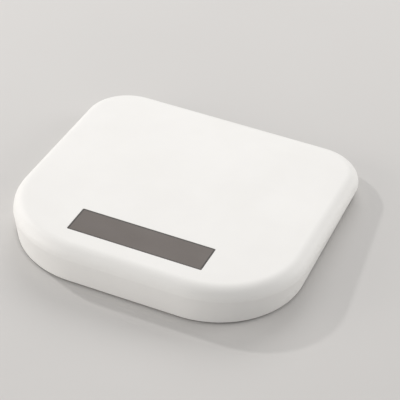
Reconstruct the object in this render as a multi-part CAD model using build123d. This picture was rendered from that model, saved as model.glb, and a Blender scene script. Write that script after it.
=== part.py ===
from build123d import *
import math
import os

# Digital bathroom scale. A moulded cover carries the deck, the rolled edge and the side wall.
# Four load cells hang in holders under the cover's corners, and a foot under each one takes the weight.
# A tray closes the underside and holds the battery bay, its hinged door and the unit button.
# Sizes are in millimetres. +Z is up, -Y is the front edge, and the foot pads rest on z = 0.

# ------------------------------------------------------------------ overall sizes
width = 280.0
depth = 266.0
deck_front_height = 40.6
deck_rear_height = 22.4
floor_gap = 2.1
front_corner_radius = 87.0
rear_corner_radius = 45.5
edge_roll = 11.8
side_band = 0.5
side_lean = 3.3
deck_slope = (deck_front_height - deck_rear_height) / depth
deck_angle = math.degrees(math.atan(deck_slope))


def deck_at(y):
    """Height of the deck's top face: it slopes down from the display end to the rear edge."""
    return deck_rear_height + deck_slope * (depth / 2 - y)


# ------------------------------------------------------------------ cover walls
cover_wall = 2.4
deck_thickness = 3.0
inner_roll = edge_roll - deck_thickness
lean_drop = edge_roll + side_band
rim_shift = lean_drop * math.sin(math.radians(deck_angle))

# ------------------------------------------------------------------ display window
window_width = 129.0
window_depth = 33.6
window_front_margin = 28.0
window_shift = -2.0
window_corner = 1.2
window_gap = 0.25
window_y = window_front_margin + window_depth / 2 - depth / 2
lens_thickness = 1.3
lens_drop = 0.1
tape_thickness = 0.2
tape_border = 0.8
lens_low = -lens_drop - lens_thickness
tape_low = lens_low - tape_thickness

# ------------------------------------------------------------------ display glass and its frame
glass_width = 64.0
glass_depth = 28.0
glass_thickness = 1.2
glass_gap = 0.2
contact_ledge = 3.0
sight_margin = 2.0
pocket_width = glass_width + 2 * glass_gap
pocket_depth = glass_depth + 2 * glass_gap
frame_wall = 3.0
frame_lip = 2.0
frame_width = pocket_width + 2 * frame_wall
frame_depth = pocket_depth + 2 * frame_wall
frame_height = 5.4
frame_rear_top = deck_at(window_y + frame_depth / 2) - deck_thickness
glass_top = frame_rear_top - glass_gap
glass_middle = glass_top - glass_thickness
glass_low = glass_middle - glass_thickness
strip_width = 2.2
strip_end_margin = 3.0

# ------------------------------------------------------------------ circuit board
board_width = 76.0
board_thickness = 1.6
board_top = frame_rear_top - frame_height
board_low = board_top - board_thickness
board_corner = 1.5
board_screw_inset = 4.0
board_boss_diameter = 6.0
board_boss_gap = 0.5
board_screw_reach = frame_depth / 2 + board_boss_gap + board_boss_diameter / 2
board_depth = 2 * (board_screw_reach + board_screw_inset)

# ------------------------------------------------------------------ underside tray
tray_low = 2.6
tray_thickness = 2.5
tray_top = tray_low + tray_thickness
tray_gap = 0.5
tray_rim = 1.6
tray_rim_top = 9.0
tray_rib = 1.2
tray_rib_top = 7.4
tray_inset = side_lean + cover_wall + tray_gap

# ------------------------------------------------------------------ feet and load cells
pad_diameter = 28.0
pad_height = 2.2
pad_round = 0.5
pad_seat_gap = 0.1
cup_low = 1.0
cup_diameter = 32.0
cup_lip_diameter = 38.0
cup_lip_low = 5.6
cup_lip_high = 7.0
cup_boss_diameter = 10.0
cell_low = 9.0
cell_thickness = 2.4
cell_top = cell_low + cell_thickness
cell_side = 32.0
cell_corner = 4.0
cell_slot = 2.2
cell_tongue_width = 13.0
cell_frame = 4.0
cell_neck = 4.8
cell_tongue_length = cell_side - cell_frame - cell_slot - cell_neck
foot_hole_gap = 0.6
holder_pocket_gap = 0.3
holder_wall = 2.6
holder_pocket = cell_side + 2 * holder_pocket_gap
holder_diameter = 2 * (math.sqrt(2) * (holder_pocket / 2 - cell_corner) + cell_corner + holder_wall)
holder_lip = 0.4
holder_plate = 3.6
holder_low = cell_low - holder_lip
holder_high = cell_top + holder_plate
holder_room = 2.6
relief_height = 2.0
relief_width = 14.0
relief_reach = 11.0
ring_step = 1.0
ring_diameter = holder_diameter - 2 * ring_step
ring_wall = 2.0
gauge_length = 7.0
gauge_width = 5.0
gauge_thickness = 0.2
gauge_start = 4.5

# ------------------------------------------------------------------ screws
case_screw = {"head": 5.8, "head_height": 2.2, "shank": 3.0, "length": 10.4}
cell_screw = {"head": 4.2, "head_height": 1.6, "shank": 2.4, "length": 9.0}
board_screw = {"head": 5.0, "head_height": 1.5, "shank": 2.4, "length": 6.0}
screw_tip = 0.8
holder_screw_wall = 1.75
holder_screw_radius = holder_pocket / 2 + holder_screw_wall + cell_screw["head"] / 2 + holder_lip / 2
drive_width = 0.7
drive_share = 0.62
drive_depth_share = 0.5
screw_clearance = 0.4
hole_spare = 0.6

# ------------------------------------------------------------------ ribs and screw towers
rib_thickness = 1.6
rib_pitch = 30.0
rib_edge = 30.0
tower_diameter = 7.0
post_diameter = 10.0
post_top = 8.0
post_seat = 5.6
seat_gap = 0.3
case_screw_margin = 20.5
rear_screw_x = 45.0
side_screw_y = 10.0
front_screw_x = 46.0
inner_screw_x = 58.0
inner_screw_y = 48.0

# ------------------------------------------------------------------ battery bay
battery_diameter = 10.5
battery_body = 43.3
battery_nub_diameter = 3.8
battery_nub_length = 1.2
battery_length = battery_body + battery_nub_length
battery_gap = 0.7
battery_pitch = battery_diameter + battery_gap
battery_round = 0.5
bay_y = 20.8
contact_room = 4.7
contact_sheet = 0.4
bay_length = battery_length + contact_room + 2 * contact_sheet
bay_side_room = 1.3
bay_width = 2 * (battery_pitch + bay_side_room)
bay_wall = 1.6
bay_roof = 1.4
contact_side_gap = 1.6
contact_width = battery_pitch - 2 * contact_side_gap
contact_low_gap = 1.8
contact_top_gap = 0.4
tab_width = 3.0
tab_proud = 0.8
tab_slot_gap = 0.3
spring_wire = 0.8
spring_turns = 3
spring_radius = 3.2

# ------------------------------------------------------------------ battery door
door_overhang = 3.0
door_length = bay_length + 2 * door_overhang
door_front = bay_width / 2 + door_overhang
door_thickness = 2.0
door_top = tray_low + door_thickness
door_gap = 0.5
door_top_gap = 0.3
door_corner = 2.0
hinge_offset = 5.0
hinge_reach = bay_width / 2 + hinge_offset
bead_radius = 1.7
bead_length = door_length - 2 * door_overhang
bead_clearance = 0.3
hinge_neck = 2.4
pin_radius = 0.9
pin_length = 2.3
pin_fit = 0.05
latch_width = 12.0
latch_thickness = 1.2
latch_gap = 0.6
latch_front = bay_width / 2 - latch_gap
latch_high = 7.4
nub_radius = 0.3
nub_drop = 0.6
catch_width = 14.0
catch_low = 5.6
catch_high = 10.0
catch_depth = 0.9
grip_count = 4
grip_pitch = 1.6
grip_radius = 0.35
grip_length = 14.0
grip_front = 2.6

# ------------------------------------------------------------------ bay sizes that follow its contents
battery_low_gap = 0.4
battery_high_gap = 0.3
battery_axis_z = door_top + battery_low_gap + battery_diameter / 2
bay_roof_low = battery_axis_z + battery_diameter / 2 + battery_high_gap
bay_roof_high = bay_roof_low + bay_roof
bay_flange_low = door_top + door_top_gap
bay_flange_wall = 1.2
bay_flange_high = tray_low + 2 * bead_radius + bead_clearance + bay_flange_wall
bay_flange_border = 2.0
bay_flange_length = door_length + 2 * bay_flange_border
bay_flange_front = door_front + bay_flange_border + door_gap
bay_flange_rear = hinge_reach + bead_radius + bead_clearance + bay_flange_border
contact_low = door_top + contact_low_gap
contact_high = bay_roof_low - contact_top_gap

# ------------------------------------------------------------------ unit button and its switch
switch_side = 6.0
switch_height = 3.5
switch_edge = 0.4
switch_shift_x = 28.0
switch_shift_y = -7.0
plunger_diameter = 3.2
plunger_bore_gap = 0.1
plunger_stand = 1.1
plunger_depth = 1.4
plunger_bore_depth = 2.4
cap_diameter = 9.0
cap_gap = 0.4
cap_low = 2.9
cap_lip_diameter = 12.0
cap_lip_low = 5.4
cap_lip_high = 6.4
cap_dish_radius = 12.0
cap_dish_depth = 0.4
stem_diameter = 4.0
well_gap = 0.5
well_wall = 1.5
well_top = 8.8

# ------------------------------------------------------------------ board parts
blob_diameter = 13.0
blob_height = 1.8
chip_length = 10.0
chip_width = 3.9
chip_height = 1.5
chip_leg_count = 8
chip_leg_pitch = 1.27
chip_leg_width = 0.45
chip_leg_reach = 1.05
chip_leg_thickness = 0.25
small_length = 2.0
small_width = 1.25
small_height = 0.6
small_pitch = 3.4
small_columns = 4
small_rows = 2

# ------------------------------------------------------------------ wires and their clips
wire_diameter = 1.0
wire_step = 1.15
wire_start = 10.0
wire_rise_start = 27.0
wire_rise_end = 41.0
wire_lift = 0.8
wire_height = bay_roof_high + wire_lift
wire_slope_radius = 12.0
wire_turn_radius = 12.0
wire_end_radius = 2.4
wire_cross_gap = 14.0
wire_pad_inset = 11.0
rear_pad_x = 34.0
front_pad_x = 33.0
front_rise_end = 33.0
front_slope_radius = 5.0
battery_wire_lift = 0.4
battery_wire_gap = 1.2
battery_wire_height = max(wire_height + battery_wire_lift, bay_roof_high + battery_wire_gap)
battery_wire_reach = 3.4
battery_wire_pitch = 2.0
battery_wire_radius = 2.4
battery_wire_end_share = 0.75
battery_end_radius = min(wire_end_radius, battery_wire_end_share * (board_low - battery_wire_height))
tab_high = battery_wire_height + tab_proud
rib_wire_gap = 1.6
rib_low = battery_wire_height + rib_wire_gap
clip_thickness = 1.6
clip_wall = 1.5
clip_gap = 0.15
clip_low_wall = 0.9
clip_mouth = 0.8
solder_radius = 0.95
solder_tip_radius = 0.62
solder_height = 0.7

upward = (Align.CENTER, Align.CENTER, Align.MIN)


# ------------------------------------------------------------------ small helpers
def disc(diameter, low, high, x=0.0, y=0.0):
    """Upright round solid between two heights."""
    return Pos(x, y, low) * Cylinder(diameter / 2, high - low, align=upward)


def block(size_x, size_y, low, high, x=0.0, y=0.0):
    """Upright rectangular solid between two heights, centred on x, y."""
    return Pos(x, y, low) * Box(size_x, size_y, high - low, align=upward)


def rounded_block(size_x, size_y, corner, low, high, x=0.0, y=0.0):
    """Upright rectangular solid with rounded plan corners."""
    plan = Pos(x, y, low) * RectangleRounded(size_x, size_y, corner)
    return extrude(plan, high - low)


def bar(radius, length, x, y, z):
    """Round bar lying along X, centred on a point."""
    return Pos(x, y, z) * Rot(0, 90, 0) * Cylinder(radius, length)


def screw(sizes):
    """Pan head screw pointing up, its head seated under z = 0, with a crossed drive slot."""
    head = disc(sizes["head"], -sizes["head_height"], 0)
    head = fillet(head.edges().sort_by(Axis.Z)[0], sizes["head_height"] / 3)
    shank = disc(sizes["shank"], 0, sizes["length"])
    shank = chamfer(shank.edges().sort_by(Axis.Z)[-1], screw_tip)
    slot_length = sizes["head"] * drive_share
    slot_top = -sizes["head_height"] * drive_depth_share
    slots = block(slot_length, drive_width, -sizes["head_height"], slot_top)
    slots += block(drive_width, slot_length, -sizes["head_height"], slot_top)
    return head + shank - slots


def spaced(pitch, span):
    """Positions a pitch apart, centred on nought, as many as fit in a span."""
    count = int(span // pitch) + 1
    return [(index - (count - 1) / 2) * pitch for index in range(count)]


# ------------------------------------------------------------------ places shared by several pieces
def foot_place(side, corner_radius, along):
    """Centre of a foot on the diagonal of its plan corner."""
    wall_room = tray_inset + tray_rim + holder_room
    reach = (corner_radius - wall_room - holder_diameter / 2) / math.sqrt(2)
    x = side * (width / 2 - corner_radius + reach)
    y = along * (depth / 2 - corner_radius + reach)
    return x, y


# Each foot: its name, its centre, the way its wires leave, in degrees, and the side it is on.
feet = [
    ("front_left", foot_place(-1, front_corner_radius, -1), 0, -1),
    ("front_right", foot_place(1, front_corner_radius, -1), 180, 1),
    ("rear_left", foot_place(-1, rear_corner_radius, 1), -90, -1),
    ("rear_right", foot_place(1, rear_corner_radius, 1), -90, 1),
]

case_screw_places = [
    (side * x, y)
    for side in (-1, 1)
    for x, y in (
        (rear_screw_x, depth / 2 - case_screw_margin),
        (width / 2 - case_screw_margin, side_screw_y),
        (front_screw_x, case_screw_margin - depth / 2),
        (inner_screw_x, inner_screw_y),
    )
]

board_screw_places = [
    (
        window_shift + side * (board_width / 2 - board_screw_inset),
        window_y + along * board_screw_reach,
    )
    for side in (-1, 1)
    for along in (-1, 1)
]

rib_xs = spaced(rib_pitch, width - 2 * rib_edge)
rib_ys = spaced(rib_pitch, depth - 2 * rib_edge)
switch_x = window_shift + switch_shift_x
switch_y = window_y + switch_shift_y
hinge_y = bay_y + hinge_reach
hinge_z = tray_low + bead_radius
board_rear = window_y + board_depth / 2
wire_cross_y = board_rear + wire_cross_gap
battery_ends = bay_length / 2 - contact_sheet
wire_z = cell_top + gauge_thickness + wire_diameter / 2


def foot_frame(centre, turn):
    """Placement of a foot's own frame, whose +X points the way its wires leave."""
    return Pos(centre[0], centre[1], 0) * Rot(0, 0, turn)


# ------------------------------------------------------------------ cover
def plan_outline(inset):
    """The scale's plan shape drawn in by inset: wide front corners and tighter rear ones."""
    shape = Rectangle(width - 2 * inset, depth - 2 * inset)
    shape = fillet(shape.vertices().sort_by(Axis.Y)[:2], front_corner_radius - inset)
    shape = fillet(shape.vertices().sort_by(Axis.Y)[-2:], rear_corner_radius - inset)
    return shape


def on_deck(shape, x=0.0, y=0.0):
    """Lays a shape that is made about z = 0 on the sloping deck."""
    return Pos(x, y, deck_at(y)) * Rot(-deck_angle, 0, 0) * shape


def above_underside():
    """Everything above the deck's underside."""
    return on_deck(block(2 * width, 2 * depth, -deck_thickness, deck_front_height))


def cover_block(inset, drop, roll):
    """The cover's outer form, or its inner space: rolled top edge over sides that lean in."""
    high = Pos(0, rim_shift, -lean_drop) * plan_outline(inset)
    band = extrude(high, lean_drop - drop)
    band = fillet(band.faces().sort_by(Axis.Z)[-1].edges(), roll)
    low = Pos(0, 0, floor_gap) * plan_outline(inset + side_lean)
    return on_deck(band) + loft([on_deck(high), low], ruled=True)


def wire_clip(x, y, turn, wires, pitch, height):
    """Moulded gate hanging from a rib, its wires lying side by side in the gate."""
    room = (wires - 1) * pitch + wire_diameter + 2 * clip_gap
    low = height - wire_diameter / 2 - clip_gap - clip_low_wall
    gate = block(clip_thickness, room + 2 * clip_wall, low, deck_front_height)
    half = wire_diameter / 2 + clip_gap
    gate -= block(2 * clip_thickness, room, height - half, height + half)
    gate -= block(2 * clip_thickness, clip_mouth, low - 1, height)
    return Pos(x, y, 0) * Rot(0, 0, turn) * gate


def clip_list():
    """Every wire clip: along the side runs, along the cross runs and on the battery wires."""
    clips = []
    for name, centre, turn, side in feet[2:]:
        start = centre[1] - wire_rise_end - wire_slope_radius / 2
        stop = wire_cross_y + wire_turn_radius
        for y in rib_ys:
            if stop < y < start:
                clips.append(wire_clip(centre[0], y, 90, 3, wire_step, wire_height))
        inner = window_shift + side * rear_pad_x
        near = abs(inner) + wire_turn_radius
        far = abs(centre[0]) - wire_turn_radius
        for x in rib_xs:
            if near < abs(x) < far and x * side > 0:
                clips.append(wire_clip(x, wire_cross_y, 0, 3, wire_step, wire_height))
    middle = battery_wire_x(0.5)
    for y in rib_ys:
        if board_rear < y < bay_y - bay_flange_front:
            clips.append(wire_clip(middle, y, 90, 2, battery_wire_pitch, battery_wire_height))
    return clips


def battery_wire_x(index):
    """Across-position of a battery wire on its run to the board."""
    return -battery_ends - battery_wire_reach - index * battery_wire_pitch


def make_cover():
    outer = cover_block(0, 0, edge_roll)
    inner = cover_block(cover_wall, deck_thickness, inner_roll)
    shell = outer - inner

    ribs = [block(rib_thickness, depth, rib_low, deck_front_height, x=x) for x in rib_xs]
    ribs += [block(width, rib_thickness, rib_low, deck_front_height, y=y) for y in rib_ys]
    rib_grid = Part() + ribs
    clear_width = board_width + 2 * board_boss_diameter
    clear_depth = board_depth + board_boss_diameter
    rib_grid -= block(clear_width, clear_depth, 0, deck_front_height, window_shift, window_y)
    inside = rib_grid + clip_list()

    rings = []
    for name, centre, turn, side in feet:
        ring = disc(ring_diameter, holder_high, deck_front_height)
        ring -= disc(ring_diameter - 2 * ring_wall, holder_high, deck_front_height)
        span = ring_diameter - ring_wall
        ring += block(span, rib_thickness, holder_high, deck_front_height)
        ring += block(rib_thickness, span, holder_high, deck_front_height)
        for along in (-1, 1):
            boss_diameter = cell_screw["shank"] + 2 * rib_thickness
            y = along * holder_screw_radius
            ring += disc(boss_diameter, holder_high, deck_front_height, 0, y)
        rings.append(foot_frame(centre, turn) * ring)
        inside -= foot_frame(centre, turn) * disc(span, 0, deck_front_height)
    towers = [disc(tower_diameter, post_top, deck_front_height, x, y) for x, y in case_screw_places]
    towers += [disc(board_boss_diameter, board_top, deck_front_height, x, y) for x, y in board_screw_places]
    inside = inside + rings + towers
    cover = shell + (inside & inner)

    seat = rounded_block(window_width, window_depth, window_corner, tape_low, edge_roll)
    sight_depth = glass_depth - contact_ledge - 2 * sight_margin
    sight = block(glass_width - 2 * sight_margin, sight_depth, 0, deck_front_height)
    cover -= on_deck(seat, window_shift, window_y)
    cover -= Pos(window_shift, window_y + contact_ledge / 2, 0) * sight

    for x, y in case_screw_places:
        top = post_seat + case_screw["length"] + hole_spare
        cover -= disc(case_screw["shank"], post_top - 1, top, x, y)
    for x, y in board_screw_places:
        top = board_low + board_screw["length"] + hole_spare
        cover -= disc(board_screw["shank"], board_top - 1, top, x, y)
    for name, centre, turn, side in feet:
        for along in (-1, 1):
            top = holder_low + cell_screw["head_height"] + cell_screw["length"] + hole_spare
            hole = disc(cell_screw["shank"], holder_high - 1, top, 0, along * holder_screw_radius)
            cover -= foot_frame(centre, turn) * hole
    return cover


# ------------------------------------------------------------------ display
def make_lens():
    """Dark window: a flat sheet lying in the cover's seat."""
    size_x = window_width - 2 * window_gap
    size_y = window_depth - 2 * window_gap
    lens = rounded_block(size_x, size_y, window_corner, lens_low, -lens_drop)
    return on_deck(lens, window_shift, window_y)


def make_tape():
    """Adhesive sheet under the window, cut away over the display glass."""
    size_x = window_width - 2 * window_gap - 2 * tape_border
    size_y = window_depth - 2 * window_gap - 2 * tape_border
    tape = rounded_block(size_x, size_y, window_corner / 2, tape_low, lens_low)
    cut_x = glass_width - sight_margin
    cut_y = glass_depth - contact_ledge - sight_margin
    tape -= block(cut_x, cut_y, tape_low, lens_low, 0, contact_ledge / 2)
    return on_deck(tape, window_shift, window_y)


def make_glass():
    """Display glass: a front sheet and a shorter rear sheet that leaves the contact ledge bare."""
    front = block(glass_width, glass_depth, glass_middle, glass_top, window_shift, window_y)
    rear_depth = glass_depth - contact_ledge
    rear_y = window_y + contact_ledge / 2
    rear = block(glass_width, rear_depth, glass_low, glass_middle, window_shift, rear_y)
    return front + rear


def make_frame():
    """Moulded frame that holds the display glass between the board and the deck."""
    frame = rounded_block(
        frame_width, frame_depth, board_corner, board_top, deck_front_height, window_shift, window_y,
    )
    frame -= above_underside()
    frame -= block(pocket_width, pocket_depth, glass_low, deck_front_height, window_shift, window_y)
    open_x = pocket_width - 2 * frame_lip
    open_y = pocket_depth - frame_lip
    shift = window_y - frame_lip / 2
    return frame - block(open_x, open_y, board_top, glass_low, window_shift, shift)


def make_strip():
    """Rubber contact strip that joins the glass ledge to the board."""
    length = glass_width - 2 * strip_end_margin
    y = window_y - glass_depth / 2 + contact_ledge / 2
    return block(length, strip_width, board_top, glass_middle, window_shift, y)


# ------------------------------------------------------------------ board and what is on it
def make_board():
    board = rounded_block(board_width, board_depth, board_corner, board_low, board_top, window_shift, window_y)
    for x, y in board_screw_places:
        board -= disc(board_screw["shank"] + screw_clearance, board_low, board_top, x, y)
    return board


def make_controller():
    """Round drop of black resin over the controller, on the board's underside."""
    x = window_shift - blob_diameter / 2
    sphere_radius = (blob_diameter ** 2 / 4 + blob_height ** 2) / (2 * blob_height)
    ball = Pos(x, window_y, board_low + sphere_radius - blob_height) * Sphere(sphere_radius)
    return ball & disc(blob_diameter + 1, board_low - blob_height - 1, board_low, x, window_y)


def make_converter():
    """Load cell amplifier chip with two rows of legs."""
    x = window_shift + blob_diameter
    y = window_y + chip_width
    stand = chip_leg_thickness
    chip = block(chip_length, chip_width, board_low - chip_height, board_low - stand, x, y)
    for index in range(chip_leg_count):
        leg_x = x + (index - (chip_leg_count - 1) / 2) * chip_leg_pitch
        reach = chip_width + 2 * chip_leg_reach
        chip += block(chip_leg_width, reach, board_low - stand, board_low, leg_x, y)
    return chip


def make_small_parts():
    """Small chip resistors and capacitors in rows on the board's underside."""
    pieces = []
    for column in range(small_columns):
        for row in range(small_rows):
            x = window_shift + blob_diameter + (column - 1) * small_pitch
            y = window_y - chip_width - row * small_pitch
            pieces.append(block(small_length, small_width, board_low - small_height, board_low, x, y))
    return pieces


def make_switch():
    """Push switch under the board, bored for its plunger."""
    low = board_low - switch_height
    body = block(switch_side, switch_side, low, board_low, switch_x, switch_y)
    body = chamfer(body.edges().filter_by(Axis.Z), switch_edge)
    bore = plunger_diameter + 2 * plunger_bore_gap
    return body - disc(bore, low, low + plunger_bore_depth, switch_x, switch_y)


def plunger_low():
    return board_low - switch_height - plunger_stand


def make_plunger():
    """The switch's own plunger, which the button's stem presses."""
    high = board_low - switch_height + plunger_depth
    return disc(plunger_diameter, plunger_low(), high, switch_x, switch_y)


def make_button():
    """Unit button: cap in the tray's hole, a lip that keeps it in, and a stem up to the plunger."""
    cap = disc(cap_diameter, cap_low, cap_lip_low, switch_x, switch_y)
    dish_z = cap_low - cap_dish_radius + cap_dish_depth
    cap -= Pos(switch_x, switch_y, dish_z) * Sphere(cap_dish_radius)
    lip = disc(cap_lip_diameter, cap_lip_low, cap_lip_high, switch_x, switch_y)
    stem = disc(stem_diameter, cap_lip_high, plunger_low(), switch_x, switch_y)
    return cap + lip + stem


# ------------------------------------------------------------------ feet, cells and holders
def make_pad():
    pad = disc(pad_diameter, 0, pad_height)
    return fillet(pad.edges().sort_by(Axis.Z)[0], pad_round)


def make_cup():
    """Foot: round body in the tray's opening, a lip above the tray and a boss under the cell."""
    cup = disc(cup_diameter, cup_low, cup_lip_low)
    cup += disc(cup_lip_diameter, cup_lip_low, cup_lip_high)
    cup += disc(cup_boss_diameter, cup_lip_high, cell_low)
    return cup - disc(pad_diameter + 2 * pad_seat_gap, cup_low, pad_height)


def make_cell():
    """Steel load cell: a square frame round a tongue, joined to it on the side the wires leave."""
    plate = rounded_block(cell_side, cell_side, cell_corner, cell_low, cell_top)
    outer_x = cell_tongue_length + cell_slot
    outer_y = cell_tongue_width + 2 * cell_slot
    start = -cell_side / 2 + cell_frame
    slot = block(outer_x, outer_y, cell_low, cell_top, start + outer_x / 2)
    tongue_start = start + cell_slot
    slot -= block(cell_tongue_length, cell_tongue_width, cell_low, cell_top, tongue_start + cell_tongue_length / 2)
    return plate - slot


def make_gauge():
    """Strain gauge patch bonded on the tongue's neck."""
    x = gauge_start + gauge_length / 2
    return block(gauge_length, gauge_width, cell_top, cell_top + gauge_thickness, x)


def make_holder():
    """Round holder with a pocket for the cell, room over the tongue and a way out for the wires."""
    holder = disc(holder_diameter, holder_low, holder_high)
    holder -= rounded_block(holder_pocket, holder_pocket, cell_corner, holder_low, cell_top)
    relief_end = holder_diameter / 2 + 1
    relief_length = relief_reach + relief_end
    centre = (relief_end - relief_reach) / 2
    holder -= block(relief_length, relief_width, cell_top, cell_top + relief_height, centre)
    seat = holder_low + cell_screw["head_height"]
    for along in (-1, 1):
        y = along * holder_screw_radius
        holder -= disc(cell_screw["head"] + seat_gap, holder_low, seat, 0, y)
        holder -= disc(cell_screw["shank"] + screw_clearance, seat, holder_high, 0, y)
    return holder


# ------------------------------------------------------------------ tray
def make_tray():
    tray = extrude(Pos(0, 0, tray_low) * plan_outline(tray_inset), tray_rim_top - tray_low)
    tray -= extrude(Pos(0, 0, tray_top) * plan_outline(tray_inset + tray_rim), tray_rim_top)
    ribs = [block(tray_rib, depth, tray_top, tray_rib_top, x=x) for x in rib_xs]
    ribs += [block(width, tray_rib, tray_top, tray_rib_top, y=y) for y in rib_ys]
    room = extrude(Pos(0, 0, tray_top) * plan_outline(tray_inset + tray_rim), tray_rim_top - tray_top)
    tray += (Part() + ribs) & room
    tray += [disc(post_diameter, tray_top, post_top, x, y) for x, y in case_screw_places]
    well_outer = cap_lip_diameter + 2 * well_gap + 2 * well_wall
    tray += disc(well_outer, tray_top, well_top, switch_x, switch_y)

    flange_depth = bay_flange_front + bay_flange_rear
    flange_y = bay_y + (bay_flange_rear - bay_flange_front) / 2
    flange = block(bay_flange_length, flange_depth, bay_flange_low, bay_flange_high, 0, flange_y)
    outer_length = bay_length + 2 * bay_wall
    outer_width = bay_width + 2 * bay_wall
    bay = flange + block(outer_length, outer_width, bay_flange_low, bay_roof_high, 0, bay_y)
    tray += bay

    for name, centre, turn, side in feet:
        well = disc(holder_diameter, tray_top, tray_rim_top)
        opening = disc(cup_diameter + 2 * foot_hole_gap, tray_low, tray_top)
        tray -= foot_frame(centre, turn) * (well + opening)
    for x, y in case_screw_places:
        tray -= disc(case_screw["head"] + 2 * seat_gap, tray_low, post_seat, x, y)
        tray -= disc(case_screw["shank"] + screw_clearance, post_seat, post_top, x, y)
    tray -= disc(cap_diameter + 2 * cap_gap, tray_low, tray_top, switch_x, switch_y)
    tray -= disc(cap_lip_diameter + 2 * well_gap, tray_top, well_top, switch_x, switch_y)

    tray -= block(bay_length, bay_width, tray_low, bay_roof_low, 0, bay_y)
    opening_front = bay_y - door_front - door_gap
    opening_rear = hinge_y + bead_radius + bead_clearance
    opening_y = (opening_front + opening_rear) / 2
    opening_length = door_length + 2 * door_gap
    tray -= block(opening_length, opening_rear - opening_front, tray_low, bay_flange_low, 0, opening_y)
    clear_length = bead_length + 2 * bead_clearance
    tray -= bar(bead_radius + bead_clearance, clear_length, 0, hinge_y, hinge_z)
    catch_y = bay_y - bay_width / 2 - catch_depth / 2
    tray -= block(catch_width, catch_depth, catch_low, catch_high, 0, catch_y)

    for side in (-1, 1):
        inner = bead_length / 2 + bead_clearance
        ear_length = bay_flange_length / 2 - inner
        ear_x = side * (inner + ear_length / 2)
        ear = bar(bead_radius, ear_length, ear_x, hinge_y, hinge_z)
        ear += block(ear_length, 2 * bead_radius, hinge_z, bay_flange_high, ear_x, hinge_y)
        tray += ear
        pin_bore = pin_length + bead_clearance
        pin_x = side * (bead_length / 2 + pin_bore / 2)
        tray -= bar(pin_radius + pin_fit, pin_bore, pin_x, hinge_y, hinge_z)
        slot_y = bay_y + side * battery_pitch / 2
        slot_x = -battery_ends - contact_sheet / 2
        slot_length = contact_sheet + 2 * tab_slot_gap
        slot_width = tab_width + 2 * tab_slot_gap
        tray -= block(slot_length, slot_width, bay_roof_low, bay_roof_high, slot_x, slot_y)
    return tray


# ------------------------------------------------------------------ battery door
def make_door():
    """Door: flat plate, round hinge bead with end pins, spring latch and finger grooves."""
    high = tray_low + door_thickness
    front = bay_y - door_front
    plate_rear = hinge_y - hinge_neck
    plate_y = (front + plate_rear) / 2
    door = block(door_length, plate_rear - front, tray_low, high, 0, plate_y)
    door = fillet(door.edges().filter_by(Axis.Z), door_corner)
    door += block(bead_length, hinge_neck, tray_low, high, 0, plate_rear + hinge_neck / 2)
    door += bar(bead_radius, bead_length, 0, hinge_y, hinge_z)
    door += bar(pin_radius, bead_length + 2 * pin_length, 0, hinge_y, hinge_z)
    latch_y = bay_y - latch_front + latch_thickness / 2
    door += block(latch_width, latch_thickness, high, latch_high, 0, latch_y)
    nub_z = latch_high - nub_drop
    door += bar(nub_radius, latch_width, 0, bay_y - latch_front, nub_z)
    for index in range(grip_count):
        y = front + grip_front + index * grip_pitch
        door -= bar(grip_radius, grip_length, 0, y, tray_low)
    return door


# ------------------------------------------------------------------ batteries and contacts
def make_batteries():
    """Two small cells lying side by side, facing opposite ways."""
    body = Rot(0, 90, 0) * Cylinder(battery_diameter / 2, battery_body, align=upward)
    body = fillet(body.edges(), battery_round)
    nub_start = battery_body - battery_round / 2
    nub_length = battery_nub_length + battery_round / 2
    nub = Pos(nub_start, 0, 0) * Rot(0, 90, 0) * Cylinder(battery_nub_diameter / 2, nub_length, align=upward)
    cell = Pos(-battery_length, 0, 0) * (body + nub)
    half = battery_pitch / 2
    one = Pos(battery_ends, bay_y + half, battery_axis_z) * cell
    other = Pos(-battery_ends, bay_y - half, battery_axis_z) * Rot(0, 0, 180) * cell
    return [one, other]


def spring_shape():
    """Coil of spring wire standing along +X from the origin."""
    room = 2 * battery_ends - battery_length
    height = room - spring_wire
    coil = Helix(height / spring_turns, height, spring_radius)
    start = Plane(origin=coil @ 0, z_dir=coil % 0)
    wire = sweep(start * Circle(spring_wire / 2), path=coil, is_frenet=True)
    return Rot(0, 90, 0) * Pos(0, 0, spring_wire / 2) * wire


def make_springs():
    half = battery_pitch / 2
    spring = spring_shape()
    one = Pos(-battery_ends, bay_y + half, battery_axis_z) * spring
    other = Pos(battery_ends, bay_y - half, battery_axis_z) * Rot(0, 0, 180) * spring
    return [one, other]


def make_link():
    """Sprung steel strap across the far end of the bay, joining the two cells."""
    x = battery_ends + contact_sheet / 2
    return block(contact_sheet, contact_width + battery_pitch, contact_low, contact_high, x, bay_y)


def make_terminals():
    """The two end plates with tabs that stand up through the bay roof."""
    x = -battery_ends - contact_sheet / 2
    plates = []
    for side in (-1, 1):
        y = bay_y + side * battery_pitch / 2
        plate = block(contact_sheet, contact_width, contact_low, contact_high, x, y)
        plates.append(plate + block(contact_sheet, tab_width, contact_high, tab_high, x, y))
    return plates


# ------------------------------------------------------------------ wires
def wire_along(points, radii):
    """Insulated wire of straight runs joined by arcs."""
    route = FilletPolyline(*points, radius=radii)
    start = Plane(origin=route @ 0, z_dir=route % 0)
    return sweep(start * Circle(wire_diameter / 2), path=route)


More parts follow.
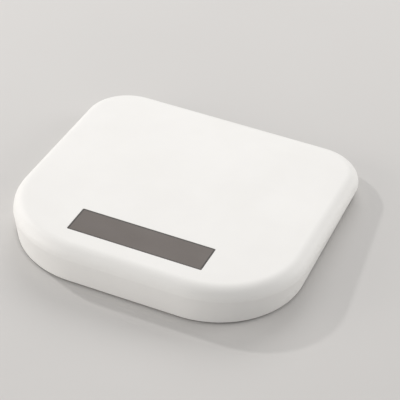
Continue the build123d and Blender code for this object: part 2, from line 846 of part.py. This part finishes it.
def rear_wires(centre, side):
    """Three wires from a rear cell: forward along the side, across, then forward under the board."""
    inner_x = window_shift + side * rear_pad_x
    pad_y = board_rear - wire_pad_inset
    wires = []
    for step in (-1, 0, 1):
        dx = step * wire_step
        dy = -side * step * wire_step
        x = centre[0] + dx
        end_x = inner_x + dx
        y = centre[1] + dy
        points = [
            (x, y - wire_start, wire_z),
            (x, y - wire_rise_start, wire_z),
            (x, y - wire_rise_end, wire_height),
            (x, wire_cross_y + dy, wire_height),
            (end_x, wire_cross_y + dy, wire_height),
            (end_x, pad_y + dy, wire_height),
            (end_x, pad_y + dy, board_low),
        ]
        radii = [
            wire_slope_radius, wire_slope_radius, wire_turn_radius, wire_turn_radius, wire_end_radius,
        ]
        wires.append(wire_along(points, radii))
    return wires


def front_wires(centre, side):
    """Three wires from a front cell straight across to the near end of the board."""
    end_x = window_shift + side * front_pad_x
    wires = []
    for step in (-1, 0, 1):
        dx = step * wire_step
        dy = -side * step * wire_step
        x = centre[0] + dx
        y = centre[1] + dy
        points = [
            (x - side * wire_start, y, wire_z),
            (x - side * wire_rise_start, y, wire_z),
            (x - side * front_rise_end, y, wire_height),
            (end_x + dx, y, wire_height),
            (end_x + dx, y, board_low),
        ]
        radii = [front_slope_radius, front_slope_radius, wire_end_radius]
        wires.append(wire_along(points, radii))
    return wires


def battery_wires():
    """Two wires from the end plates' tabs, forward to the board's rear edge."""
    wires = []
    for index in (0, 1):
        tab_y = bay_y + (2 * index - 1) * battery_pitch / 2
        start_x = -battery_ends - contact_sheet
        run_x = battery_wire_x(index)
        pad_y = board_rear - wire_pad_inset
        points = [
            (start_x, tab_y, battery_wire_height),
            (run_x, tab_y, battery_wire_height),
            (run_x, pad_y, battery_wire_height),
            (run_x, pad_y, board_low),
        ]
        wires.append(wire_along(points, [battery_wire_radius, battery_end_radius]))
    return wires


def solder_joint(x, y):
    """Small cone of solder round a wire's end under the board."""
    cone = Pos(x, y, board_low - solder_height) * Cone(
        solder_tip_radius, solder_radius, solder_height, align=upward
    )
    return cone - disc(wire_diameter, board_low - solder_height, board_low, x, y)


def make_solder():
    joints = []
    pad_y = board_rear - wire_pad_inset
    for name, centre, turn, side in feet:
        for step in (-1, 0, 1):
            dx = step * wire_step
            dy = -side * step * wire_step
            if centre[1] > 0:
                x = window_shift + side * rear_pad_x
                joints.append(solder_joint(x + dx, pad_y + dy))
            else:
                x = window_shift + side * front_pad_x
                joints.append(solder_joint(x + dx, centre[1] + dy))
    for index in (0, 1):
        joints.append(solder_joint(battery_wire_x(index), pad_y))
    return joints


# ------------------------------------------------------------------ screws in place
def make_case_screws():
    shape = screw(case_screw)
    return [Pos(x, y, post_seat) * shape for x, y in case_screw_places]


def make_board_screws():
    shape = screw(board_screw)
    return [Pos(x, y, board_low) * shape for x, y in board_screw_places]


def make_holder_screws():
    shape = screw(cell_screw)
    seat = holder_low + cell_screw["head_height"]
    screws = []
    for name, centre, turn, side in feet:
        for along in (-1, 1):
            place = Pos(0, along * holder_screw_radius, seat)
            screws.append(foot_frame(centre, turn) * place * shape)
    return screws


# ------------------------------------------------------------------ write one file per piece
def save(name, shape):
    solids = shape if isinstance(shape, list) else [shape]
    group = Compound(children=[solid for piece in solids for solid in piece.solids()])
    group.label = name
    export_step(group, "parts/" + name + ".step")


os.makedirs("parts", exist_ok=True)
save("top_cover", make_cover())
save("display_lens", make_lens())
save("lens_tape", make_tape())
save("display_glass", make_glass())
save("display_frame", make_frame())
save("contact_strip", make_strip())
save("main_board", make_board())
save("controller_blob", make_controller())
save("amplifier_chip", make_converter())
save("small_components", make_small_parts())
save("unit_switch", make_switch())
save("switch_plunger", make_plunger())
save("unit_button", make_button())
save("base_tray", make_tray())
save("battery_door", make_door())
save("batteries", make_batteries())
save("battery_springs", make_springs())
save("battery_link", make_link())
save("battery_terminals", make_terminals())
save("battery_wires", battery_wires())
save("solder_joints", make_solder())
save("case_screws", make_case_screws())
save("board_screws", make_board_screws())
save("holder_screws", make_holder_screws())
for name, centre, turn, side in feet:
    place = foot_frame(centre, turn)
    save("foot_pad_" + name, place * make_pad())
    save("foot_cup_" + name, place * make_cup())
    save("load_cell_" + name, place * make_cell())
    save("strain_gauge_" + name, place * make_gauge())
    save("cell_holder_" + name, place * make_holder())
    if centre[1] > 0:
        save("cell_wires_" + name, rear_wires(centre, side))
    else:
        save("cell_wires_" + name, front_wires(centre, side))
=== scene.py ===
"""Low white digital bathroom scale on a pale floor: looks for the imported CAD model."""

import math

import bmesh
import bpy
from mathutils import Matrix, Vector


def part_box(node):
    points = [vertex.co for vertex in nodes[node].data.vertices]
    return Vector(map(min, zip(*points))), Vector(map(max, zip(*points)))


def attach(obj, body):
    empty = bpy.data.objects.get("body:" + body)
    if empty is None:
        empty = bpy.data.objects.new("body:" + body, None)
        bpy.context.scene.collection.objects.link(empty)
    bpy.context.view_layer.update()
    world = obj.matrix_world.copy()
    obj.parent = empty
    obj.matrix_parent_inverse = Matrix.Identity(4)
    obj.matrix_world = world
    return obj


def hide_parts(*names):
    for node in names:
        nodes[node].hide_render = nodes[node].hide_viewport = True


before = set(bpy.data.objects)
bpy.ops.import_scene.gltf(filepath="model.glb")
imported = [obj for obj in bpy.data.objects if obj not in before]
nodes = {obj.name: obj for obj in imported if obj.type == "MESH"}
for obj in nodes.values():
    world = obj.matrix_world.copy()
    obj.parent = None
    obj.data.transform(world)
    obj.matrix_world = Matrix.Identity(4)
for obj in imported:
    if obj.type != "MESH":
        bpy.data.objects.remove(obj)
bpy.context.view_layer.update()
feet = ("front_left", "front_right", "rear_left", "rear_right")

# ------------------------------------------------------------------ top cover
# One injection moulding in white ABS: deck, rolled edge and leaning side wall in a single shell.
# The mould face is finely spark eroded, so the plastic has a soft sheen that feet polish a little.


class Value:
    """One output in a finish's node tree; arithmetic on it adds Math nodes."""

    def __init__(self, finish, socket):
        self.finish = finish
        self.socket = socket

    def math(self, operation, first, second=0.0):
        return self.finish.node("ShaderNodeMath", {"operation": operation}, {0: first, 1: second})

    def __add__(self, other):
        return self.math("ADD", self, other)

    __radd__ = __add__

    def __sub__(self, other):
        return self.math("SUBTRACT", self, other)

    def __rsub__(self, other):
        return self.math("SUBTRACT", other, self)

    def __mul__(self, other):
        return self.math("MULTIPLY", self, other)

    __rmul__ = __mul__

    def __truediv__(self, other):
        return self.math("DIVIDE", self, other)

    def __rtruediv__(self, other):
        return self.math("DIVIDE", other, self)

    def __abs__(self):
        return self.math("ABSOLUTE", self)

    def larger(self, other):
        return self.math("MAXIMUM", self, other)

    def over(self, other):
        return self.math("GREATER_THAN", self, other)

    def wave(self, pitch):
        """Smooth hills of the given pitch, from 0 to 1."""
        return self.math("SINE", self * (2 * math.pi / pitch)) * 0.5 + 0.5

    def between(self, low, high):
        """0 below low, 1 above high, and a smooth step from one to the other."""
        sockets = {"Value": self, "From Min": low, "From Max": high}
        return self.finish.node("ShaderNodeMapRange", {"interpolation_type": "SMOOTHSTEP"}, sockets)


class Finish:
    """A procedural finish. Places are in metres on the piece, so that grain stays put when it moves."""

    def __init__(self, name):
        self.material = bpy.data.materials.new(name)
        self.material.use_nodes = True
        self.tree = self.material.node_tree
        self.tree.nodes.clear()
        self.place = self.node("ShaderNodeTexCoord", output="Object")

    def node(self, kind, settings=None, sockets=None, output=0):
        """Adds a node: its settings first, then the values or links of its sockets."""
        made = self.tree.nodes.new(kind)
        chosen = getattr(made, "color_ramp", made)
        for name, value in (settings or {}).items():
            if name == "stops":
                for position, colour in value:
                    chosen.elements.new(position).color = colour
                chosen.elements.remove(chosen.elements[-1])
                chosen.elements.remove(chosen.elements[0])
            else:
                setattr(chosen, name, value)
        for name, value in (sockets or {}).items():
            if isinstance(value, Value):
                self.tree.links.new(value.socket, made.inputs[name])
            else:
                made.inputs[name].default_value = value
        return Value(self, made.outputs[output])

    def along(self, axis):
        """Place along one axis, in metres."""
        return self.node("ShaderNodeSeparateXYZ", None, {"Vector": self.place}, axis)

    def noise(self, size, detail=2.0, stretch=(1.0, 1.0, 1.0)):
        """Noise whose blobs are about a size across, in metres, longer where stretch is above 1."""
        scale = tuple(1 / share for share in stretch)
        place = self.node("ShaderNodeVectorMath", {"operation": "MULTIPLY"}, {0: self.place, 1: scale})
        sockets = {"Vector": place, "Scale": 1 / size, "Detail": detail}
        return self.node("ShaderNodeTexNoise", None, sockets, "Fac")

    def pits(self, size):
        """Distance to the nearest of scattered points, as a share of their spacing."""
        return self.node("ShaderNodeTexVoronoi", None, {"Vector": self.place, "Scale": 1 / size}, "Distance")

    def mix(self, share, first, second):
        """Colour that goes from the first to the second as share goes from 0 to 1."""
        sockets = {0: share, 6: first, 7: second}
        return self.node("ShaderNodeMix", {"data_type": "RGBA"}, sockets, 2)

    def relief(self, height, depth, strength=1.0, under=None):
        """Bump from a height between 0 and 1 that stands for a depth in metres."""
        sockets = {"Height": height, "Distance": depth, "Strength": strength}
        if under:
            sockets["Normal"] = under
        return self.node("ShaderNodeBump", None, sockets, "Normal")

    def close(self, **sockets):
        """Ends the finish in its surface shader; socket names have _ for a space."""
        named = {name.replace("_", " "): value for name, value in sockets.items()}
        shader = self.node("ShaderNodeBsdfPrincipled", None, named)
        output = self.tree.nodes.new("ShaderNodeOutputMaterial")
        self.tree.links.new(shader.socket, output.inputs["Surface"])
        return self.material


def dress(material, *names):
    """Gives CAD nodes a finish in place of the plain one that they come with."""
    for name in names:
        slots = nodes[name].data.materials
        slots.clear()
        slots.append(material)


def moulded_plastic(name, light, dark, grain, depth, roughness, sheen_spread=0.08):
    """Moulded plastic: faint flow clouds in its colour, and a fine eroded grain."""
    flow_size = 0.045
    sheen_size = 0.02
    pit_spacing = grain * 1.4
    pit_share = 0.4
    finish = Finish(name)
    clouds = finish.noise(flow_size, 3.0)
    base = finish.mix(clouds.between(0.3, 0.7), (*dark, 1), (*light, 1))
    rough = finish.noise(sheen_size, 4.0) * sheen_spread + (roughness - sheen_spread / 2)
    texture = finish.noise(grain, 3.0) * (1 - pit_share) + finish.pits(pit_spacing) * pit_share
    return finish, base, rough, finish.relief(texture, depth)


cover_light = (0.845, 0.838, 0.822)
cover_dark = (0.828, 0.820, 0.803)
cover_grain = 0.0005
cover_grain_depth = 0.000012
cover_roughness = 0.52
trodden_size = 0.05
trodden_stretch = (1.0, 2.2, 1.0)
trodden_polish = 0.05

cover_finish, base, rough, normal = moulded_plastic(
    "moulded_white", cover_light, cover_dark, cover_grain, cover_grain_depth, cover_roughness
)
trodden = cover_finish.noise(trodden_size, 5.0, trodden_stretch).between(0.45, 0.75)
rough = rough - trodden * trodden_polish
cover_surface = cover_finish.close(Base_Color=base, Roughness=rough, Specular_IOR_Level=0.4, Normal=normal)
dress(cover_surface, "top_cover")

# ------------------------------------------------------------------ display window
# Smoked acrylic sheet stuck into a shallow seat in the deck, its face flush with it.
# Its back is printed grey brown, and the colour is a shade darker in a thin band round the edge.
lens_low, lens_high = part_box("display_lens")
lens_middle = (lens_low + lens_high) / 2
lens_half = (lens_high - lens_low) / 2
border_width = 0.0014
border_blur = 0.0003
lens_print = (0.108, 0.091, 0.081, 1)
lens_speck = (0.120, 0.101, 0.091, 1)
lens_border = (0.040, 0.034, 0.030, 1)
speck_size = 0.0009
cloud_size = 0.03
smear_size = 0.012
smear_stretch = (3.0, 1.0, 1.0)
ripple_size = 0.004
ripple_depth = 0.00001
lens_roughness = 0.24
smear_roughness = 0.12

window_finish = Finish("printed_acrylic")
in_x = abs(window_finish.along("X") - lens_middle.x) - lens_half.x
in_y = abs(window_finish.along("Y") - lens_middle.y) - lens_half.y
# The colour turns darker in a thin band just inside the edge of the sheet.
border = in_x.larger(in_y).between(-border_width - border_blur, -border_width + border_blur)
specks = window_finish.noise(speck_size, 2.0) * 0.5 + window_finish.noise(cloud_size, 2.0) * 0.5
printed = window_finish.mix(specks.between(0.3, 0.7), lens_print, lens_speck)
base = window_finish.mix(border, printed, lens_border)
smears = window_finish.noise(smear_size, 4.0, smear_stretch)
normal = window_finish.relief(window_finish.noise(ripple_size, 2.0), ripple_depth)
rough = smears * smear_roughness + lens_roughness
window_surface = window_finish.close(Base_Color=base, Roughness=rough, Specular_IOR_Level=0.2, Normal=normal)
dress(window_surface, "display_lens")

# ------------------------------------------------------------------ window tape
# Double-sided black foam tape, cut to a ring that follows the edge of the window sheet.
# Its open cells are about a third of a millimetre across.
cell_spacing = 0.0004
cell_depth = 0.0001

tape_finish = Finish("foam_tape")
cells = tape_finish.pits(cell_spacing)
base = tape_finish.mix(cells, (0.02, 0.02, 0.02, 1), (0.06, 0.06, 0.06, 1))
normal = tape_finish.relief(cells, cell_depth)
dress(tape_finish.close(Base_Color=base, Roughness=0.9, Normal=normal), "lens_tape")

# ------------------------------------------------------------------ display glass, frame and contact strip
# Two thin sheets of glass with a polariser, held by a white moulded frame under the deck.
# A striped silicone strip carries the signals from the board to the bare glass ledge.
digit_pitch = 0.012
digit_height = 0.02
polariser_size = 0.01
stripe_pitch = 0.0004

glass_finish = Finish("display_glass")
segments = glass_finish.along("X").wave(digit_pitch) * glass_finish.along("Y").wave(digit_height)
base = glass_finish.mix(segments.over(0.7), (0.36, 0.40, 0.34, 1), (0.27, 0.30, 0.26, 1))
rough = glass_finish.noise(polariser_size, 3.0) * 0.06 + 0.05
dress(glass_finish.close(Base_Color=base, Roughness=rough, IOR=1.52), "display_glass")

frame_finish, base, rough, normal = moulded_plastic(
    "frame_plastic", (0.78, 0.78, 0.76), (0.74, 0.74, 0.72), 0.0006, 0.00002, 0.5
)
dress(frame_finish.close(Base_Color=base, Roughness=rough, Normal=normal), "display_frame")

strip_finish = Finish("striped_silicone")
stripes = strip_finish.along("X").wave(stripe_pitch).over(0.5)
base = strip_finish.mix(stripes, (0.62, 0.30, 0.36, 1), (0.05, 0.05, 0.05, 1))
dress(strip_finish.close(Base_Color=base, Roughness=0.6), "contact_strip")

# ------------------------------------------------------------------ circuit board and its parts
# Glass laminate under green solder mask: copper tracks stand a little proud and show paler.
# The controller is a blob of resin; the amplifier, the chip parts and the switch are soldered on.
track_pitch = 0.0026
track_wander = 0.006
track_height = 0.00004
wander_size = 0.012
turn_size = 0.02
mask_size = 0.004

board_finish = Finish("solder_mask")
across = board_finish.along("X")
deep = board_finish.along("Y")
wander = board_finish.noise(wander_size, 0.0)
tracks_x = (across + wander * track_wander).wave(track_pitch).between(0.62, 0.72)
tracks_y = (deep + wander * track_wander).wave(track_pitch).between(0.62, 0.72)
turn = board_finish.noise(turn_size, 0.0).over(0.5)
tracks = tracks_x * turn + tracks_y * (1 - turn)
base = board_finish.mix(tracks, (0.018, 0.13, 0.05, 1), (0.04, 0.24, 0.10, 1))
normal = board_finish.relief(tracks, track_height)
rough = board_finish.noise(mask_size, 2.0) * 0.1 + 0.24
dress(board_finish.close(Base_Color=base, Roughness=rough, Normal=normal), "main_board")

resin_wave = 0.003
resin_wave_depth = 0.0002
resin_haze = 0.002
resin_speck = 0.001

resin_finish = Finish("potting_resin")
normal = resin_finish.relief(resin_finish.noise(resin_wave, 2.0), resin_wave_depth)
rough = resin_finish.noise(resin_haze, 3.0) * 0.1 + 0.12
base = resin_finish.mix(resin_finish.noise(resin_speck), (0.008, 0.008, 0.008, 1), (0.02, 0.02, 0.02, 1))
dress(resin_finish.close(Base_Color=base, Roughness=rough, Normal=normal), "controller_blob")

chip_low, chip_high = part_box("amplifier_chip")
chip_middle = (chip_low + chip_high) / 2
leg_share = 0.72
leg_start = (chip_high.y - chip_low.y) / 2 * leg_share
grit_size = 0.00025
grit_depth = 0.00003

chip_finish = Finish("chip_package")
legs = abs(chip_finish.along("Y") - chip_middle.y).over(leg_start)
grit = chip_finish.noise(grit_size, 2.0)
body = chip_finish.mix(grit, (0.02, 0.02, 0.02, 1), (0.05, 0.05, 0.05, 1))
base = chip_finish.mix(legs, body, (0.62, 0.61, 0.58, 1))
normal = chip_finish.relief(grit, grit_depth)
chip_surface = chip_finish.close(Base_Color=base, Metallic=legs, Roughness=0.5 - legs * 0.2, Normal=normal)
dress(chip_surface, "amplifier_chip")

end_pitch = 0.002

parts_finish = Finish("chip_parts")
ends = parts_finish.along("X").wave(end_pitch).over(0.6)
base = parts_finish.mix(ends, (0.30, 0.22, 0.14, 1), (0.60, 0.59, 0.56, 1))
dress(parts_finish.close(Base_Color=base, Metallic=ends, Roughness=0.45), "small_components")


def bare_metal(name, light, dark, roughness, brushed=(1.0, 1.0, 1.0), size=0.0006, depth=0.000006):
    """Bare or plated metal: fine rubbing lines, with darker spots where it has dulled."""
    spot_size = 0.003
    finish = Finish(name)
    lines = finish.noise(size, 3.0, brushed)
    spots = finish.noise(spot_size, 4.0).between(0.45, 0.8)
    base = finish.mix(lines * 0.6 + spots * 0.4, (*light, 1), (*dark, 1))
    rough = lines * 0.12 + spots * 0.1 + roughness
    return finish.close(Base_Color=base, Metallic=1.0, Roughness=rough, Normal=finish.relief(lines, depth))


solder = bare_metal("solder", (0.74, 0.74, 0.73), (0.58, 0.58, 0.58), 0.22)
dress(solder, "solder_joints")
switch_shell = bare_metal("switch_shell", (0.66, 0.66, 0.65), (0.50, 0.50, 0.50), 0.25, (6.0, 1.0, 1.0))
dress(switch_shell, "unit_switch")

# ------------------------------------------------------------------ unit button
# A grey moulded cap with a stem that reaches through the tray to the push switch on the board.
# The switch's black plunger rests on the stem and rises with it.
button_grain = 0.0004
button_grain_depth = 0.00002
plunger_grain = 0.0003
plunger_grain_depth = 0.00001

button_finish, base, rough, normal = moulded_plastic(
    "button_plastic", (0.30, 0.30, 0.31), (0.27, 0.27, 0.28), button_grain, button_grain_depth, 0.42
)
dress(button_finish.close(Base_Color=base, Roughness=rough, Normal=normal), "unit_button")

plunger_finish, base, rough, normal = moulded_plastic(
    "plunger_plastic", (0.05, 0.05, 0.05), (0.035, 0.035, 0.035), plunger_grain, plunger_grain_depth, 0.4
)
dress(plunger_finish.close(Base_Color=base, Roughness=rough, Normal=normal), "switch_plunger")

# ------------------------------------------------------------------ load cells, gauges and holders
# Each foot presses on a stamped spring-steel cell with an amber foil gauge bonded to its tongue.
# A black moulded holder screws each cell to the ribs under the deck.
cell_names = ["load_cell_" + foot for foot in feet]
dress(bare_metal("cell_steel", (0.66, 0.65, 0.63), (0.50, 0.49, 0.47), 0.28, (1.0, 12.0, 1.0)), *cell_names)

foil_pitch = 0.0006
film_size = 0.001
film_depth = 0.00005

gauge_finish = Finish("gauge_film")
grid = gauge_finish.along("X").wave(foil_pitch).over(0.5)
base = gauge_finish.mix(grid, (0.60, 0.33, 0.07, 1), (0.44, 0.24, 0.09, 1))
gauge_names = ["strain_gauge_" + foot for foot in feet]
normal = gauge_finish.relief(gauge_finish.noise(film_size), film_depth)
dress(gauge_finish.close(Base_Color=base, Roughness=0.25, Normal=normal), *gauge_names)

holder_grain = 0.0005
holder_grain_depth = 0.00003

holder_finish, base, rough, normal = moulded_plastic(
    "holder_plastic", (0.045, 0.045, 0.046), (0.03, 0.03, 0.031), holder_grain, holder_grain_depth, 0.5
)
holder_names = ["cell_holder_" + foot for foot in feet]
dress(holder_finish.close(Base_Color=base, Roughness=rough, Normal=normal), *holder_names)

# ------------------------------------------------------------------ wires
# Thin vinyl-sleeved wires, one colour to a sleeve: red, black, white or green.
# Clips moulded under the deck hold them, and their ends are soldered to the board.
scuff_size = 0.002
scuff_depth = 0.00004

wire_finish = Finish("vinyl_sleeves")
which = wire_finish.node("ShaderNodeNewGeometry", output="Random Per Island")
sleeve_colours = [
    (0.01, (0.50, 0.03, 0.025, 1)),
    (0.3, (0.03, 0.03, 0.03, 1)),
    (0.55, (0.72, 0.71, 0.68, 1)),
    (0.8, (0.03, 0.26, 0.08, 1)),
]
sleeve_choice = {"interpolation": "CONSTANT", "stops": sleeve_colours}
sleeves = wire_finish.node("ShaderNodeValToRGB", sleeve_choice, {"Fac": which})
scuffs = wire_finish.noise(scuff_size, 3.0)
base = wire_finish.mix(scuffs * 0.15, sleeves, (0.3, 0.3, 0.3, 1))
wire_names = ["cell_wires_" + foot for foot in feet]
normal = wire_finish.relief(scuffs, scuff_depth)
wire_surface = wire_finish.close(Base_Color=base, Roughness=scuffs * 0.15 + 0.35, Normal=normal)
dress(wire_surface, "battery_wires", *wire_names)

# ------------------------------------------------------------------ batteries and their contacts
# Two small dry cells, steel cans in printed sleeves; the sleeve stops short of both bare ends.
# Nickel-plated springs, a link strip and two terminals close the circuit.
cells_low, cells_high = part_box("batteries")
cells_middle = (cells_low + cells_high) / 2
cells_half = (cells_high - cells_low) / 2
bare_length = 0.0026
copper_start = 0.008
copper_full = 0.0086
ring_middle = 0.0068
ring_half = 0.0006
rub_size = 0.004
rub_depth = 0.00003

battery_finish = Finish("battery_sleeve")
from_middle = abs(battery_finish.along("X") - cells_middle.x)
bare = from_middle.over(cells_half.x - bare_length)
band = battery_finish.along("X") - cells_middle.x
side = battery_finish.along("Y").over(cells_middle.y)
band = band * (side * 2 - 1)
copper = band.between(copper_start, copper_full)
ring = abs(band - ring_middle).over(ring_half)
sleeve = battery_finish.mix(copper, (0.035, 0.04, 0.045, 1), (0.42, 0.20, 0.055, 1))
sleeve = battery_finish.mix(1 - ring, sleeve, (0.7, 0.69, 0.66, 1))
rubbed = battery_finish.noise(rub_size, 4.0)
sleeve = battery_finish.mix(rubbed * 0.2, sleeve, (0.22, 0.22, 0.22, 1))
base = battery_finish.mix(bare, sleeve, (0.66, 0.65, 0.62, 1))
rough = rubbed * 0.15 + 0.22
normal = battery_finish.relief(rubbed, rub_depth)
metallic = bare * 0.6 + 0.4
battery_surface = battery_finish.close(Base_Color=base, Metallic=metallic, Roughness=rough, Normal=normal)
dress(battery_surface, "batteries")

plating = bare_metal("nickel_plating", (0.76, 0.75, 0.72), (0.62, 0.61, 0.58), 0.18, (4.0, 1.0, 1.0))
dress(plating, "battery_springs", "battery_link", "battery_terminals")

# ------------------------------------------------------------------ tray and battery door
# The underside is one grey moulding screwed up into the cover, with a coarser eroded grain.
# The battery door is moulded in the same plastic and swings on pins at its rear edge.
tray_light = (0.085, 0.085, 0.090)
tray_dark = (0.068, 0.068, 0.072)
tray_grain = 0.0008
tray_grain_depth = 0.00006
dust_size = 0.03
dust_share = 0.12

tray_finish, base, rough, normal = moulded_plastic(
    "tray_plastic", tray_light, tray_dark, tray_grain, tray_grain_depth, 0.52
)
dust = tray_finish.noise(dust_size, 5.0).between(0.5, 0.8)
base = tray_finish.mix(dust * dust_share, base, (0.25, 0.24, 0.23, 1))
tray_surface = tray_finish.close(Base_Color=base, Roughness=rough + dust * 0.1, Normal=normal)
dress(tray_surface, "base_tray", "battery_door")

# ------------------------------------------------------------------ screws
# Zinc-plated steel screws with pan heads and a cross recess, turned up from below.
# They cut their own threads in the cover's towers and posts.
zinc_grain = 0.0004
screw_metal = bare_metal(
    "zinc_plating", (0.60, 0.60, 0.58), (0.44, 0.44, 0.43), 0.26, (1.0, 1.0, 5.0), zinc_grain
)
dress(screw_metal, "case_screws", "board_screws", "holder_screws")

# ------------------------------------------------------------------ feet
# A grey plastic cup hangs in each round opening of the tray, free to rise against its load cell.
# A rubber pad is pressed into each cup; its tread is four moulded rings that grip the floor.
cup_grain = 0.0005
cup_grain_depth = 0.00003

cup_finish, base, rough, normal = moulded_plastic(
    "cup_plastic", (0.135, 0.135, 0.14), (0.11, 0.11, 0.115), cup_grain, cup_grain_depth, 0.48
)
cup_names = ["foot_cup_" + foot for foot in feet]
dress(cup_finish.close(Base_Color=base, Roughness=rough, Normal=normal), *cup_names)

rubber_grain = 0.0007
rubber_grain_depth = 0.00006
rubber_cloud = 0.006
rubber_dark = (0.055, 0.055, 0.055, 1)
rubber_light = (0.085, 0.083, 0.080, 1)

rubber_finish = Finish("pad_rubber")
grain = rubber_finish.noise(rubber_grain, 3.0)
blotches = rubber_finish.noise(rubber_cloud, 4.0)
base = rubber_finish.mix(blotches, rubber_dark, rubber_light)
normal = rubber_finish.relief(grain, rubber_grain_depth)
rubber_surface = rubber_finish.close(Base_Color=base, Roughness=grain * 0.1 + 0.72, Normal=normal)

tread_rings = ((0.0026, 0.0045), (0.0059, 0.0078), (0.0092, 0.0111), (0.0121, 0.0135))
tread_groove = 0.0007
tread_slope = 0.00022
pad_segments = 96
tread_angle = math.radians(35)

for foot in feet:
    pad_low, pad_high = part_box("foot_pad_" + foot)
    pad_middle = (pad_low + pad_high) / 2
    pad_radius = (pad_high.x - pad_low.x) / 2
    pad_height = pad_high.z - pad_low.z
    profile = [(0.0, tread_groove)]
    for inside, outside in tread_rings:
        profile.append((inside - tread_slope, tread_groove))
        profile.append((inside, 0.0))
        profile.append((outside, 0.0))
        profile.append((outside + tread_slope, tread_groove))
    profile[-1] = (pad_radius, pad_radius - tread_rings[-1][1])
    profile.append((pad_radius, pad_height - tread_slope))
    profile.append((pad_radius - tread_slope, pad_height))
    profile.append((0.0, pad_height))
    turned = bmesh.new()
    loops = []
    for radius, height in profile:
        count = pad_segments if radius else 1
        turns = [2 * math.pi * step / count for step in range(count)]
        loops.append([turned.verts.new((radius * math.cos(a), radius * math.sin(a), height)) for a in turns])
    for below, above in zip(loops, loops[1:]):
        for step in range(pad_segments):
            corners = [below[step % len(below)], below[(step + 1) % len(below)]]
            corners += [above[(step + 1) % len(above)], above[step % len(above)]]
            turned.faces.new(list(dict.fromkeys(corners)))
    bmesh.ops.recalc_face_normals(turned, faces=turned.faces)
    pad_mesh = bpy.data.meshes.new("tread_pad_" + foot)
    turned.to_mesh(pad_mesh)
    turned.free()
    pad_mesh.shade_smooth()
    pad_mesh.set_sharp_from_angle(angle=tread_angle)
    pad_mesh.materials.append(rubber_surface)
    pad = bpy.data.objects.new("tread_pad_" + foot, pad_mesh)
    pad.location = (pad_middle.x, pad_middle.y, pad_low.z)
    bpy.context.scene.collection.objects.link(pad)
    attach(pad, "foot_" + foot)
    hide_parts("foot_pad_" + foot)

# ------------------------------------------------------------------ floor
# A smooth sheet of pale painted board, much larger than the scale.
# It lies a tenth of a millimetre under the pads, so that the two never share a plane.
floor_reach = 2.6
floor_drop = 0.0001
floor_light = (0.621, 0.610, 0.599, 1)
floor_dark = (0.606, 0.595, 0.584, 1)
floor_cloud = 0.35
floor_grain = 0.0015
floor_grain_depth = 0.00004
floor_cells = 24

floor_finish = Finish("painted_board")
clouds = floor_finish.noise(floor_cloud, 3.0)
base = floor_finish.mix(clouds.between(0.3, 0.7), floor_dark, floor_light)
normal = floor_finish.relief(floor_finish.noise(floor_grain, 3.0), floor_grain_depth)
floor_surface = floor_finish.close(Base_Color=base, Roughness=clouds * 0.06 + 0.62, Normal=normal)

floor_mesh = bpy.data.meshes.new("floor")
sheet = bmesh.new()
bmesh.ops.create_grid(sheet, x_segments=floor_cells, y_segments=floor_cells, size=floor_reach)
sheet.to_mesh(floor_mesh)
sheet.free()
floor = bpy.data.objects.new("floor", floor_mesh)
floor.location.z = -floor_drop
bpy.context.scene.collection.objects.link(floor)
floor_mesh.materials.append(floor_surface)

# ------------------------------------------------------------------ studio light
# A small lamp on the left, a little behind the scale, throws the short shadow to the right.
# Large soft panels at the far side, the left and the right and an even surround fill the rest.
surround_colour = (1.0, 0.992, 0.985, 1)
surround_strength = 0.53

surround = bpy.data.worlds.new("surround")
surround.use_nodes = True
background = surround.node_tree.nodes["Background"]
background.inputs["Color"].default_value = surround_colour
background.inputs["Strength"].default_value = surround_strength
bpy.context.scene.world = surround
bpy.context.scene.view_settings.view_transform = "Standard"


def panel(name, place, target, width, power, tint=(1.0, 0.99, 0.98)):
    """Round soft lamp of the given width that faces a target."""
    lamp = bpy.data.lights.new(name, "AREA")
    lamp.shape = "DISK"
    lamp.size = width
    lamp.energy = power
    lamp.color = tint
    holder = bpy.data.objects.new(name, lamp)
    aim = Vector(target) - Vector(place)
    holder.location = place
    holder.rotation_euler = aim.to_track_quat("-Z", "Y").to_euler()
    bpy.context.scene.collection.objects.link(holder)


ground = (0, 0, 0)
middle = (0, 0, 0.02)
side_tint = (1.0, 0.965, 0.92)
panel("key_lamp", (-1.75, 0.39, 1.30), ground, 0.12, 11.5)
panel("far_panel", (-0.5, 1.7, 1.5), ground, 1.4, 14.0)
panel("left_panel", (-1.3, -1.5, 0.8), middle, 1.2, 6.8, side_tint)
panel("low_panel", (-1.8, -0.9, 0.5), middle, 1.1, 10.5, side_tint)
panel("right_panel", (1.6, 1.2, 0.7), middle, 1.2, 14, (1.0, 0.98, 0.95))

# ------------------------------------------------------------------ camera
# A long lens looks down on the front right corner from a metre and a half away.
# It is turned a little about its own axis, so the picture leans to one side.
camera_azimuth = math.radians(21.2233)
camera_elevation = math.radians(39.1144)
camera_roll = math.radians(2.9692)
camera_distance = 1.50996
camera_target = Vector((0.00689, 0.02682, 0.0))

back = Vector((
    math.sin(camera_azimuth) * math.cos(camera_elevation),
    -math.cos(camera_azimuth) * math.cos(camera_elevation),
    math.sin(camera_elevation),
))
right = Vector((0, 0, 1)).cross(back).normalized()
up = back.cross(right)
turn = Matrix((right, up, back)).transposed() @ Matrix.Rotation(camera_roll, 3, "Z")
lens = bpy.data.cameras.new("camera")
lens.lens = 144.23
lens.sensor_width = 36.0
lens.clip_start = 0.05
camera = bpy.data.objects.new("camera", lens)
camera.matrix_world = Matrix.Translation(camera_target + back * camera_distance) @ turn.to_4x4()
bpy.context.scene.collection.objects.link(camera)
bpy.context.scene.camera = camera
